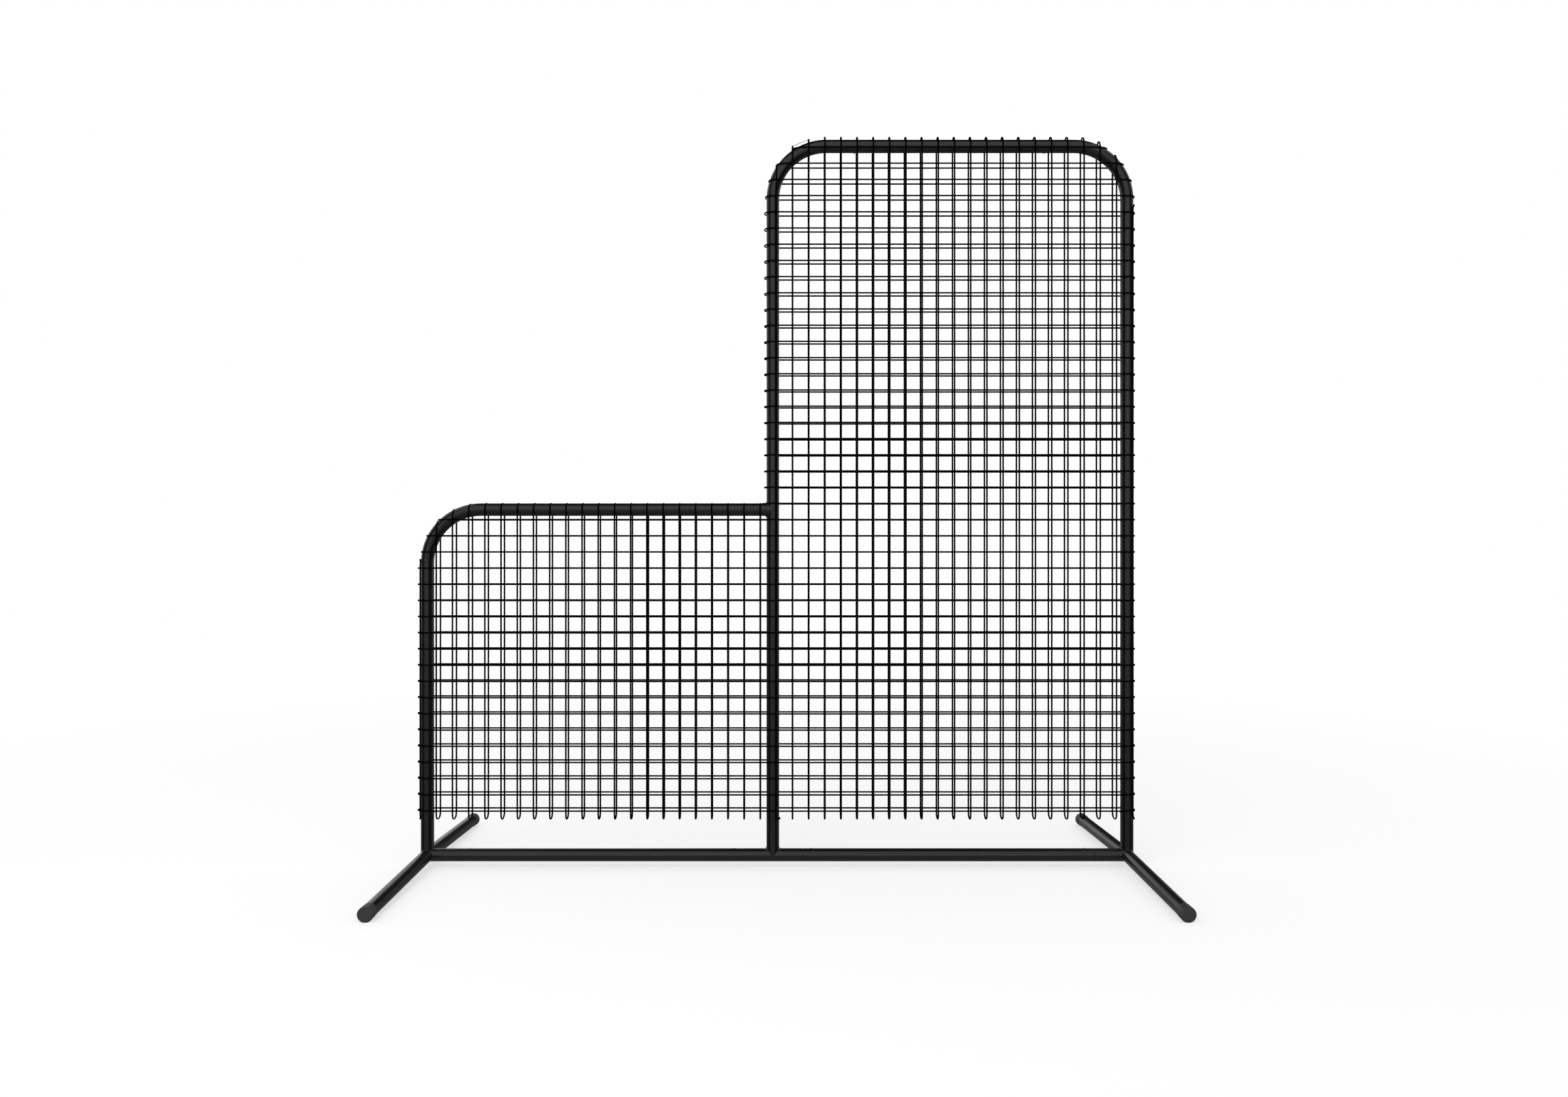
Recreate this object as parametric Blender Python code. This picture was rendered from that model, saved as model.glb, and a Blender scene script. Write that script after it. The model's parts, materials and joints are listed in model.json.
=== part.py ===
"""Pitching screen: a knock-down L-shaped frame of steel tube inside a slip-over net.

The screen stands on the ground at z = 0 with its middle over the origin. +X points to the
tall side and the front faces -Y. All sizes are in metres, and positions of tubes are
positions of their axes.
"""

from math import atan2, cos, hypot, pi, sin, sqrt

import bmesh
import bpy
from mathutils import Matrix, Vector

X = Vector((1, 0, 0))
Y = Vector((0, 1, 0))
Z = Vector((0, 0, 1))

# Frame
SHORT_SPAN = 1.035  # left upright to middle upright
TALL_SPAN = 1.061  # middle upright to right upright
SHORT_RISE = 1.035  # crossbar to short top bar
TALL_RISE = 2.124  # crossbar to tall top bar
BEND_RADIUS = 0.16
LEG_REACH = 0.495  # upright to the outer face of a foot cap, along the ground
LEG_DROP = 0.015  # how far a leg falls over its reach

# Tube and fittings
TUBE_RADIUS = 0.019
TUBE_WALL = 0.002
GAP = 0.0003  # between faces that touch on the real screen
SPIGOT_CLEARANCE = 0.0004
SPIGOT_LENGTH = 0.07
HUB_STUB = 0.1  # hub centre to a shoulder
TEE_STUB = 0.09  # tee centre to a shoulder
CORNER_STUB = 0.06  # end of a bend to the shoulder beyond it

# Foot caps
CAP_WALL = 0.00145
CAP_SKIRT = 0.032
CAP_END = 0.003
CAP_CHAMFER = 0.0012
FOOT_FLAT = 0.0008  # how deep the underside of a cap is cut flat

# Snap buttons and their springs
BUTTON_INSET = 0.025  # shoulder to button
BUTTON_RADIUS = 0.0035
BUTTON_PROUD = 0.003
BUTTON_DOME = 0.0012
BUTTON_HOLE_CLEARANCE = 0.0004
FLANGE_RADIUS = 0.005
FLANGE_THICKNESS = 0.001
SPRING_THICKNESS = 0.0008
SPRING_WIDTH = 0.007
SPRING_TAIL = 0.007  # how far both arms run past the button
SPRING_LENGTH = 0.026  # button to the middle of the closed end
SPRING_TURN = 0.003  # radius of the closed end

# Net, drawn with every third mesh
STRAND = 0.0038
NET_SPACING = 0.145
HEM_RISE = 0.107  # crossbar to the lowest point of the net
HEM_DROP = 0.03  # lowest row to the lowest point of the net

# Fineness
TUBE_SIDES = 16
BUTTON_SIDES = 10
HOLE_SIDES = 12
BEND_STEPS = 7
TURN_STEPS = 4

# Worked out from the above
INNER_RADIUS = TUBE_RADIUS - TUBE_WALL
SPIGOT_RADIUS = INNER_RADIUS - SPIGOT_CLEARANCE
SPIGOT_BORE = SPIGOT_RADIUS - TUBE_WALL
CAP_BORE = TUBE_RADIUS + GAP
CAP_RADIUS = CAP_BORE + CAP_WALL
LEG_SLOPE = atan2(LEG_DROP, LEG_REACH)
LEG_LENGTH = hypot(LEG_REACH, LEG_DROP)
BASE_Z = LEG_DROP + CAP_RADIUS * cos(LEG_SLOPE) - FOOT_FLAT
SHORT_Z = BASE_Z + SHORT_RISE
TALL_Z = BASE_Z + TALL_RISE
SPLIT_Z = SHORT_Z + TEE_STUB  # where both tall uprights part
RIGHT_X = (SHORT_SPAN + TALL_SPAN) / 2
LEFT_X = -RIGHT_X
MIDDLE_X = LEFT_X + SHORT_SPAN
CORNER_REACH = BEND_RADIUS + CORNER_STUB  # upright to the shoulder past its corner
BORE_FLAT = SPIGOT_BORE * cos(pi / TUBE_SIDES)  # a facet's distance from the axis
FLANGE_TOP = sqrt(BORE_FLAT**2 - FLANGE_RADIUS**2) - GAP
FLANGE_FOOT = FLANGE_TOP - FLANGE_THICKNESS
BUTTON_TIP = TUBE_RADIUS + BUTTON_PROUD
NET_OFFSET = TUBE_RADIUS + GAP + STRAND / 2  # tube axis to the axis of a strand on it
NET_BEND_RADIUS = BEND_RADIUS + TUBE_RADIUS + GAP + STRAND / sqrt(2)
HEM_Z = BASE_Z + HEM_RISE + STRAND / 2
FIRST_ROW_Z = BASE_Z + HEM_RISE + HEM_DROP

COAT_BLACK = (0.012, 0.012, 0.013)
CAP_BLACK = (0.035, 0.035, 0.036)
BUTTON_ZINC = (0.55, 0.56, 0.57)
SPRING_STEEL = (0.4, 0.41, 0.43)
TWINE_BLACK = (0.008, 0.008, 0.008)


def clear_scene():
    for obj in list(bpy.data.objects):
        bpy.data.objects.remove(obj)


def finish(obj, name, colour, roughness, metallic):
    """Gives an object a material of its own."""
    made = bpy.data.materials.new(f"{obj.name}_{name}")
    made.use_nodes = True
    surface = made.node_tree.nodes["Principled BSDF"]
    surface.inputs["Base Color"].default_value = (*colour, 1)
    surface.inputs["Roughness"].default_value = roughness
    surface.inputs["Metallic"].default_value = metallic
    obj.data.materials.append(made)
    return obj


def powder_coat(obj):
    return finish(obj, "coat", COAT_BLACK, 0.42, 0)


def mesh_object(name, shape):
    """An object of a bmesh whose faces all point outwards."""
    bmesh.ops.recalc_face_normals(shape, faces=shape.faces)
    mesh = bpy.data.meshes.new(name)
    shape.to_mesh(mesh)
    shape.free()
    mesh.shade_smooth()
    mesh.set_sharp_from_angle(angle=pi / 5)
    obj = bpy.data.objects.new(name, mesh)
    bpy.context.scene.collection.objects.link(obj)
    return obj


def place(obj, origin, along=Z, across=Y):
    """Puts an object's own Z axis along one way and its Y axis across."""
    axes = Matrix((across.cross(along), across, along)).transposed().to_4x4()
    obj.matrix_world = Matrix.Translation(origin) @ axes
    return obj


def ring(centre, radius, along=Z, across=Y, sides=TUBE_SIDES):
    """Corners of a polygon round an axis, the first one on the side of across."""
    other = along.cross(across)
    turns = [2 * pi * k / sides for k in range(sides)]
    return [centre + radius * (cos(t) * across + sin(t) * other) for t in turns]


def loft(name, rings, joined=False):
    """Skins rings of equal count, capping both ends or joining the last to the first."""
    shape = bmesh.new()
    corners = [[shape.verts.new(point) for point in points] for points in rings]
    pairs = list(zip(corners, corners[1:]))
    if joined:
        pairs.append((corners[-1], corners[0]))
    else:
        shape.faces.new(corners[0])
        shape.faces.new(corners[-1])
    for low, high in pairs:
        for k in range(len(low)):
            after = (k + 1) % len(low)
            shape.faces.new((low[k], low[after], high[after], high[k]))
    return mesh_object(name, shape)


def helper(obj):
    """Keeps a cutter or a joined bar out of the model."""
    obj.hide_render = True
    obj.display_type = "WIRE"
    return obj


def combine(obj, other, operation):
    """Tubes of one radius meet in lines where their facets touch, which MANIFOLD handles."""
    step = obj.modifiers.new(other.name, "BOOLEAN")
    step.operation = operation
    step.solver = "MANIFOLD"
    step.object = other


def tube(name, path, spigot):
    """A hollow tube along stations of a point and a direction across Y.

    With spigot, a reduced end runs on past the last station, which is its shoulder.
    """
    outer = [ring(point, TUBE_RADIUS, along) for point, along in path]
    inner = [ring(point, INNER_RADIUS, along) for point, along in path]
    if spigot:
        shoulder, along = path[-1]
        tip = shoulder + SPIGOT_LENGTH * along
        neck = shoulder - TUBE_WALL * along
        outer += [ring(point, SPIGOT_RADIUS, along) for point in (shoulder, tip)]
        inner[-1] = ring(neck, INNER_RADIUS, along)
        inner += [ring(point, SPIGOT_BORE, along) for point in (neck, tip)]
    return powder_coat(loft(name, outer + inner[::-1], joined=True))


def straight_tube(name, start, end, across=Y, spigot=False):
    run = end - start
    obj = tube(name, [(Vector(), Z), (run.length * Z, Z)], spigot)
    return place(obj, start, run.normalized(), across)


def corner_tube(name, start, top_z, turn_to):
    """An upright from start that bends towards turn_to and ends in a spigot."""
    bend_start = (top_z - BEND_RADIUS - start.z) * Z
    centre = bend_start + BEND_RADIUS * X
    path = [(Vector(), Z)]
    for step in range(BEND_STEPS + 1):
        angle = pi / 2 * step / BEND_STEPS
        out = sin(angle) * Z - cos(angle) * X
        path.append((centre + BEND_RADIUS * out, cos(angle) * Z + sin(angle) * X))
    path.append((path[-1][0] + CORNER_STUB * X, X))
    return place(tube(name, path, spigot=True), start, across=Z.cross(turn_to))


def way(path, across=Y, both_ends=False):
    """A run of a fitting: stations, its side direction and whether it starts in a spigot."""
    return path, across, both_ends


def way_rings(run, body, reduced, neck, reach):
    """Rings of a run, reduced from neck before its shoulder to reach past it."""
    path, across, both_ends = run
    shoulder, along = path[0]
    rings = [ring(shoulder, body, along, across)]
    if both_ends:
        rings = [
            ring(shoulder - reach * along, reduced, along, across),
            ring(shoulder + neck * along, reduced, along, across),
            ring(shoulder + neck * along, body, along, across),
        ]
    rings += [ring(point, body, along, across) for point, along in path[1:-1]]
    shoulder, along = path[-1]
    rings.append(ring(shoulder - neck * along, body, along, across))
    rings.append(ring(shoulder - neck * along, reduced, along, across))
    rings.append(ring(shoulder + reach * along, reduced, along, across))
    return rings


def fitting(name, runs):
    """Welds bars that meet in one point, then bores them through and out at every tip."""
    solid = (TUBE_RADIUS, SPIGOT_RADIUS, 0, SPIGOT_LENGTH)
    hollow = (INNER_RADIUS, SPIGOT_BORE, TUBE_WALL, SPIGOT_LENGTH + TUBE_WALL)
    body = loft(name, way_rings(runs[0], *solid))
    for k, run in enumerate(runs[1:]):
        other = helper(loft(f"{name}_bar_{k}", way_rings(run, *solid)))
        other.parent = body
        combine(body, other, "UNION")
    for k, run in enumerate(runs):
        bore = helper(loft(f"{name}_bore_{k}", way_rings(run, *hollow)))
        bore.parent = body
        combine(body, bore, "DIFFERENCE")
    return powder_coat(body)


def leg_direction(side):
    """side is -1 for the front and +1 for the back."""
    return Vector((0, side * cos(LEG_SLOPE), -sin(LEG_SLOPE)))


def hub(name):
    """Four ways: front and back legs, the upright on +Z and the crossbar on +X."""
    front = leg_direction(-1)
    back = leg_direction(1)
    legs = [(HUB_STUB * front, -front), (Vector(), Y), (HUB_STUB * back, back)]
    upright = [(Vector(), Z), (HUB_STUB * Z, Z)]
    crossbar = [(Vector(), X), (HUB_STUB * X, X)]
    return fitting(name, [way(legs, X, both_ends=True), way(upright), way(crossbar)])


def tee(name):
    """Three ways: two in line on X and one on +Z."""
    line = [(-TEE_STUB * X, X), (TEE_STUB * X, X)]
    side = [(Vector(), Z), (TEE_STUB * Z, Z)]
    return fitting(name, [way(line, both_ends=True), way(side)])


def foot_cap(name):
    """A sleeve over the end of a leg on +Z, closed by a round end face."""
    profile = [
        (LEG_LENGTH - CAP_END, CAP_BORE),
        (LEG_LENGTH - CAP_SKIRT, CAP_BORE),
        (LEG_LENGTH - CAP_SKIRT, CAP_RADIUS),
        (LEG_LENGTH - CAP_CHAMFER, CAP_RADIUS),
        (LEG_LENGTH, CAP_RADIUS - CAP_CHAMFER),
    ]
    obj = loft(name, [ring(far * Z, radius) for far, radius in profile])
    return finish(obj, "plastic", CAP_BLACK, 0.55, 0)


def ground_cutter():
    """A slab whose top is the ground, wider than the screen."""
    reach = 2 * (LEG_REACH + RIGHT_X)
    square = [Vector((x, y, 0)) for x, y in ((-1, -1), (1, -1), (1, 1), (-1, 1))]
    rings = [[reach * corner - depth * Z for corner in square] for depth in (CAP_RADIUS, 0)]
    return helper(loft("ground_cutter", rings))


def make_frame(nodes):
    """Tubes and fittings. The sockets of plain tubes slide over the spigots of the rest."""
    left = Vector((LEFT_X, 0, 0))
    middle = Vector((MIDDLE_X, 0, 0))
    right = Vector((RIGHT_X, 0, 0))

    def add(obj):
        nodes[obj.name] = obj

    def bar(name, start, end):
        add(straight_tube(name, start + GAP * X, end - GAP * X))

    def upright(name, at, low_z, high_z, spigot=False):
        top = high_z if spigot else high_z - GAP
        add(straight_tube(name, at + (low_z + GAP) * Z, at + top * Z, spigot=spigot))

    def corner(name, at, low_z, top_z, turn_to):
        add(corner_tube(name, at + (low_z + GAP) * Z, top_z, turn_to))

    add(place(hub("left_hub"), left + BASE_Z * Z))
    add(place(hub("right_hub"), right + BASE_Z * Z, across=-Y))
    add(place(tee("crossbar_tee"), middle + BASE_Z * Z))
    add(place(tee("middle_tee"), middle + SHORT_Z * Z, along=-X))

    base = BASE_Z * Z
    bar("left_crossbar", left + HUB_STUB * X + base, middle - TEE_STUB * X + base)
    bar("right_crossbar", middle + TEE_STUB * X + base, right - HUB_STUB * X + base)
    level = SHORT_Z * Z
    bar("short_top_bar", left + CORNER_REACH * X + level, middle - TEE_STUB * X + level)
    level = TALL_Z * Z
    bar("tall_top_bar", middle + CORNER_REACH * X + level, right - CORNER_REACH * X + level)

    hub_top = BASE_Z + HUB_STUB
    upright("middle_lower_upright", middle, BASE_Z + TEE_STUB, SHORT_Z - TEE_STUB)
    upright("right_lower_upright", right, hub_top, SPLIT_Z, spigot=True)
    corner("left_upright", left, hub_top, SHORT_Z, X)
    corner("middle_upper_upright", middle, SPLIT_Z, TALL_Z, X)
    corner("right_upper_upright", right, SPLIT_Z, TALL_Z, -X)


def make_legs(nodes):
    """Each leg has its origin in its hub's centre, on the line that it pulls off along."""
    ground = ground_cutter()
    for side_name, side in (("front", -1), ("back", 1)):
        for x_name, x in (("left", LEFT_X), ("right", RIGHT_X)):
            name = f"{side_name}_{x_name}"
            ends = (HUB_STUB + GAP, LEG_LENGTH - CAP_END - GAP)
            leg = tube(f"{name}_leg", [(far * Z, Z) for far in ends], spigot=False)
            place(leg, Vector((x, 0, BASE_Z)), leg_direction(side), X)
            cap = foot_cap(f"{name}_foot_cap")
            cap.parent = leg
            combine(cap, ground, "DIFFERENCE")
            nodes[leg.name] = leg
            nodes[cap.name] = cap


def frame_joints():
    """Name, spigot piece, socket piece, shoulder, way out of it and side towards the net."""
    base = BASE_Z * Z
    level = SHORT_Z * Z
    left = LEFT_X * X
    middle = MIDDLE_X * X
    right = RIGHT_X * X
    corner = CORNER_REACH * X
    top = TALL_Z * Z
    hub_x = HUB_STUB * X
    hub_z = HUB_STUB * Z
    tee_x = TEE_STUB * X
    tee_z = TEE_STUB * Z
    lower = "middle_lower_upright"
    upper = "middle_upper_upright"
    tall_right = "right_upper_upright"
    right_lower = "right_lower_upright"
    return [
        ("left_base", "left_hub", "left_upright", left + base + hub_z, Z, X),
        ("left_rail", "left_hub", "left_crossbar", left + base + hub_x, X, Z),
        ("right_base", "right_hub", right_lower, right + base + hub_z, Z, -X),
        ("right_rail", "right_hub", "right_crossbar", right + base - hub_x, -X, Z),
        ("tee_left", "crossbar_tee", "left_crossbar", middle + base - tee_x, -X, Z),
        ("tee_right", "crossbar_tee", "right_crossbar", middle + base + tee_x, X, Z),
        ("middle_base", "crossbar_tee", lower, middle + base + tee_z, Z, X),
        ("middle_below", "middle_tee", lower, middle + level - tee_z, -Z, X),
        ("middle_above", "middle_tee", upper, middle + level + tee_z, Z, X),
        ("short_bar_tee", "middle_tee", "short_top_bar", middle + level - tee_x, -X, -Z),
        ("short_corner", "left_upright", "short_top_bar", left + corner + level, X, -Z),
        ("tall_left_corner", upper, "tall_top_bar", middle + corner + top, X, -Z),
        ("tall_right_corner", tall_right, "tall_top_bar", right - corner + top, -X, -Z),
        ("right_middle", right_lower, tall_right, right + SPLIT_Z * Z, Z, -X),
    ]


def snap_button(name):
    """A domed stud on +Z with a flange that keeps it from leaving its hole."""
    profile = [
        (FLANGE_FOOT, FLANGE_RADIUS),
        (FLANGE_TOP, FLANGE_RADIUS),
        (FLANGE_TOP, BUTTON_RADIUS),
        (BUTTON_TIP - BUTTON_DOME, BUTTON_RADIUS),
        (BUTTON_TIP, BUTTON_RADIUS - BUTTON_DOME),
    ]
    obj = loft(name, [ring(far * Z, radius, sides=BUTTON_SIDES) for far, radius in profile])
    return finish(obj, "zinc", BUTTON_ZINC, 0.3, 1)


def button_hole(name):
    """A cutter through both walls on the button's side."""
    radius = (BUTTON_RADIUS + BUTTON_HOLE_CLEARANCE) / cos(pi / HOLE_SIDES)
    ends = (FLANGE_FOOT, BUTTON_TIP)
    return helper(loft(name, [ring(far * Z, radius, sides=HOLE_SIDES) for far in ends]))


def spring_path():
    """Middle line of the strip in the button's YZ plane: under it, round and back."""
    half = SPRING_THICKNESS / 2
    under_button = FLANGE_FOOT - GAP - half
    on_wall = sqrt(BORE_FLAT**2 - (SPRING_WIDTH / 2) ** 2) - GAP - half
    path = [(-SPRING_TAIL, under_button), (SPRING_TAIL, under_button)]
    for step in range(TURN_STEPS + 1):
        angle = pi * step / TURN_STEPS
        path.append((SPRING_LENGTH + SPRING_TURN * sin(angle), SPRING_TURN * cos(angle)))
    path += [(SPRING_TAIL, -on_wall), (-SPRING_TAIL, -on_wall)]
    return [Vector((0, y, z)) for y, z in path]


def v_spring(name):
    """A strip inside the spigot that pushes the button out against the far wall."""
    points = spring_path()
    runs = [(b - a).normalized() for a, b in zip(points, points[1:])]
    rings = []
    for point, before, after in zip(points, [runs[0]] + runs, runs + [runs[-1]]):
        along = (before + after).normalized()
        thick = SPRING_THICKNESS / 2 / along.dot(after) * along.cross(X)
        wide = SPRING_WIDTH / 2 * X
        rings.append([point + a * thick + b * wide for a, b in ((1, 1), (1, -1), (-1, -1), (-1, 1))])
    return finish(loft(name, rings), "strip", SPRING_STEEL, 0.35, 1)


def make_snap_buttons(nodes):
    """Buttons point half to the back and half to the net, clear of its strands."""
    for name, spigot, socket, shoulder, along, inner in frame_joints():
        at = shoulder + BUTTON_INSET * along
        out = (inner + Y).normalized()
        button = place(snap_button(f"{name}_button"), at, out, along)
        spring = place(v_spring(f"{name}_spring"), at, out, along)
        hole = place(button_hole(f"{name}_hole"), at, out, along)
        combine(nodes[spigot], hole, "DIFFERENCE")
        combine(nodes[socket], hole, "DIFFERENCE")
        nodes[button.name] = button
        nodes[spring.name] = spring


def strand_lattice(name, knots, strands):
    """One solid of square strands along X, Y or Z between knots, which maps keys to points."""
    signs = [(x, y, z) for x in (-1, 1) for y in (-1, 1) for z in (-1, 1)]
    shape = bmesh.new()
    corners = {
        key: {s: shape.verts.new(point + STRAND / 2 * Vector(s)) for s in signs}
        for key, point in knots.items()
    }

    def side_of(key, axis, sign):
        loop = []
        for first, second in ((-1, -1), (1, -1), (1, 1), (-1, 1)):
            corner = [first, second]
            corner.insert(axis, sign)
            loop.append(corners[key][tuple(corner)])
        return loop

    joined_sides = set()
    for first, last in strands:
        run = knots[last] - knots[first]
        axis = max(range(3), key=lambda k: abs(run[k]))
        sign = 1 if run[axis] > 0 else -1
        start = side_of(first, axis, sign)
        end = side_of(last, axis, -sign)
        for k in range(4):
            after = (k + 1) % 4
            shape.faces.new((start[k], start[after], end[after], end[k]))
        joined_sides |= {(first, axis, sign), (last, axis, -sign)}
    for key in knots:
        for axis in range(3):
            for sign in (-1, 1):
                if (key, axis, sign) not in joined_sides:
                    shape.faces.new(side_of(key, axis, sign))
    return finish(mesh_object(name, shape), "twine", TWINE_BLACK, 0.8, 0)


def past_bend(distance):
    """How far out the net runs round a bend, this far past the level of its centre."""
    return sqrt(max(NET_BEND_RADIUS**2 - distance**2, 0))


def row_turn(z, upright_x, way_out, top_z):
    """Where a row turns round an upright or the bend above it. way_out is -1 or +1."""
    bend_z = top_z - BEND_RADIUS
    if z < bend_z:
        return upright_x + way_out * NET_OFFSET
    return upright_x - way_out * (BEND_RADIUS - past_bend(z - bend_z))


def column_turn(x, corners, top_z):
    """Where a column turns over a top bar or one of its bends.

    corners lists the x of each upright that bends, with its way out.
    """
    for upright_x, way_out in corners:
        past = way_out * (x - upright_x) + BEND_RADIUS
        if past > 0:
            return top_z - BEND_RADIUS + past_bend(past)
    return top_z + NET_OFFSET


def net_panel(name, columns, rows):
    """A front and a back layer of strands, joined round the tubes and at the bottom.

    columns lists x and the height of the top turn. rows lists z and, for the left and the
    right, the x of the row's end and whether it turns to the other layer there. An end of
    None leaves the row on the outermost column.
    """
    knots = {}
    strands = []

    def chain(keys):
        strands.extend(zip(keys, keys[1:]))

    def knot(key, x, z):
        knots[key] = Vector((x, key[0] * NET_OFFSET, z))
        return key

    def crosses(column, row):
        x, top = column
        z, left, right = row
        inside_left = left is None or x > left[0] + STRAND
        inside_right = right is None or x < right[0] - STRAND
        return inside_left and inside_right and z < top - STRAND

    for side in (-1, 1):
        for j, row in enumerate(rows):
            z, left, right = row
            keys = []
            for i, column in enumerate(columns):
                if crosses(column, row):
                    keys.append(knot((side, i, j), column[0], z))
            if left:
                keys.insert(0, knot((side, "left", j), left[0], z))
            if right:
                keys.append(knot((side, "right", j), right[0], z))
            chain(keys)
        for i, column in enumerate(columns):
            x, top = column
            keys = [knot((side, i, "hem"), x, HEM_Z)]
            keys += [(side, i, j) for j, row in enumerate(rows) if crosses(column, row)]
            keys.append(knot((side, i, "top"), x, top))
            chain(keys)
    for j, (z, left, right) in enumerate(rows):
        for place_name, end in (("left", left), ("right", right)):
            if end and end[1]:
                chain([(-1, place_name, j), (1, place_name, j)])
    for i, (x, top) in enumerate(columns):
        chain([(-1, i, "top"), (1, i, "top")])
        if min(abs(x - upright) for upright in (LEFT_X, MIDDLE_X, RIGHT_X)) > NET_OFFSET:
            chain([(-1, i, "hem"), (1, i, "hem")])
    return strand_lattice(name, knots, strands)


def evenly(low, high):
    """Places from low to high, as near to the net's spacing as whole gaps allow."""
    count = round((high - low) / NET_SPACING)
    return [low + (high - low) * k / count for k in range(count + 1)]


def make_net(nodes):
    """Two panels that meet at the middle upright, where the real net runs on."""
    short_rows = evenly(FIRST_ROW_Z, SHORT_Z)
    pitch = short_rows[1] - short_rows[0]
    tall_count = int((TALL_Z - STRAND - FIRST_ROW_Z) / pitch) + 1
    tall_rows = [FIRST_ROW_Z + pitch * k for k in range(tall_count)]

    left_corner = (LEFT_X, -1)
    seam = (MIDDLE_X - STRAND - GAP, False)
    columns = [(x, column_turn(x, [left_corner], SHORT_Z)) for x in evenly(LEFT_X, MIDDLE_X)]
    rows = [(z, (row_turn(z, *left_corner, SHORT_Z), True), seam) for z in short_rows]
    nodes["net_short_panel"] = net_panel("net_short_panel", columns[:-1], rows[:-1])

    corners = [(MIDDLE_X, -1), (RIGHT_X, 1)]
    columns = [(x, column_turn(x, corners, TALL_Z)) for x in evenly(MIDDLE_X, RIGHT_X)]
    rows = []
    for z in tall_rows:
        left, right = [(row_turn(z, *corner, TALL_Z), True) for corner in corners]
        rows.append((z, left if z > SHORT_Z + NET_OFFSET else None, right))
    nodes["net_tall_panel"] = net_panel("net_tall_panel", columns, rows)


def main():
    clear_scene()
    nodes = {}
    make_frame(nodes)
    make_legs(nodes)
    make_snap_buttons(nodes)
    make_net(nodes)


main()
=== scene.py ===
"""Looks of the pitching screen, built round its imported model.

The screen stands on the ground at z = 0. +X points to the tall side and the front faces -Y.
All sizes are in metres. Where a tube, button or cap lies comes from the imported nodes. What
those don't tell, such as a wall or an edge, is a named size below.
"""

import json
from math import asin, copysign, cos, pi, radians, sin, sqrt

import bmesh
import bpy
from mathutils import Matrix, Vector


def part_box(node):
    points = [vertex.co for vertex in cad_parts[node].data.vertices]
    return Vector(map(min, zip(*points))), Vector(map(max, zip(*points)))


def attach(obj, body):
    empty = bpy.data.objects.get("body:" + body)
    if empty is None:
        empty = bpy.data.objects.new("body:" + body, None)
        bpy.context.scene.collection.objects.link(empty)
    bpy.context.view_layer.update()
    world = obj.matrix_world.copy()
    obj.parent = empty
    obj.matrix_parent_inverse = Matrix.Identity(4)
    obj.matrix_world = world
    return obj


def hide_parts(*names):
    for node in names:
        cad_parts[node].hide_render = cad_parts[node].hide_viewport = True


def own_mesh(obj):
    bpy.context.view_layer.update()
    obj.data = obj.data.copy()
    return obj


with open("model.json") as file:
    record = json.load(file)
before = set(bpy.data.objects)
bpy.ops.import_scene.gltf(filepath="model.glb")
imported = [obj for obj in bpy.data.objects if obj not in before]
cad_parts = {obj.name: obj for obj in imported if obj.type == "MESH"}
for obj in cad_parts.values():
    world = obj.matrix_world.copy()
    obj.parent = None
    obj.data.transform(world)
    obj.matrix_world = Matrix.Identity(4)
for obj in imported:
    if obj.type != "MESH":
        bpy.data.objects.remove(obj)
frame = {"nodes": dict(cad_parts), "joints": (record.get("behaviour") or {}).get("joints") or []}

NODES = frame["nodes"]
JOINTS = {joint["name"]: joint for joint in frame["joints"]}
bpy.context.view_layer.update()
X = Vector((1, 0, 0))
Y = Vector((0, 1, 0))
Z = Vector((0, 0, 1))
CORNER_SIGNS = ((-1, -1), (1, -1), (1, 1), (-1, 1))  # of a square's corners, in order

# Tube and fittings
TUBE_WALL = 0.002
GAP = 0.0003  # between faces that touch on the real screen
SPIGOT_CLEARANCE = 0.0004
BEND_RADIUS = 0.16
EDGE = 0.0004  # rounding of a tube's cut end
HUB_WELD = 0.0035  # leg of the weld fillet at a hub
TEE_WELD = 0.0085
WELD_RIPPLE = 0.00006  # height of the ripples on a weld
WELD_PITCH = 0.0032
WELD_SINK = 0.00015  # how deep the toes of a weld lie in the tube
WELD_ROOT = 0.6 * TUBE_WALL  # how deep its hidden edge lies
WELD_FILL = 0.8  # share of the room between two surfaces that a weld's leg may take
WELD_LEAST = 0.0003  # its leg where the surfaces leave no room
HUB_WELD_REACH = pi / 2.4  # how far round an upright its weld runs, from the crossbar's side

# Foot caps
CAP_END = 0.003  # thickness of the closed end
CAP_ROUND = 0.0014  # rounding of the outer rim
CAP_LIP = 0.0004  # rounding of the open end
CAP_MOUTH = 0.0008  # wall at the open end

# Snap buttons and their springs
BUTTON_PROUD = 0.003
BUTTON_RADIUS = 0.0035
BUTTON_HOLE_CLEARANCE = 0.0004
BUTTON_DOME = 0.0012
DOME_SQUARENESS = 0.7  # 1 for an ellipse, less for a flatter dome
HOLE_SPAN = (0.3, 1.3)  # where the cutter of a hole starts and ends, in radii of the tube
FLANGE_RADIUS = 0.005
FLANGE_THICKNESS = 0.001
FLANGE_BEVEL = EDGE / 3
SPRING_THICKNESS = 0.0008
SPRING_WIDTH = 0.007
SPRING_CHAMFER = 0.00015
SPRING_TURN = 0.003  # radius of its bend

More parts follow.
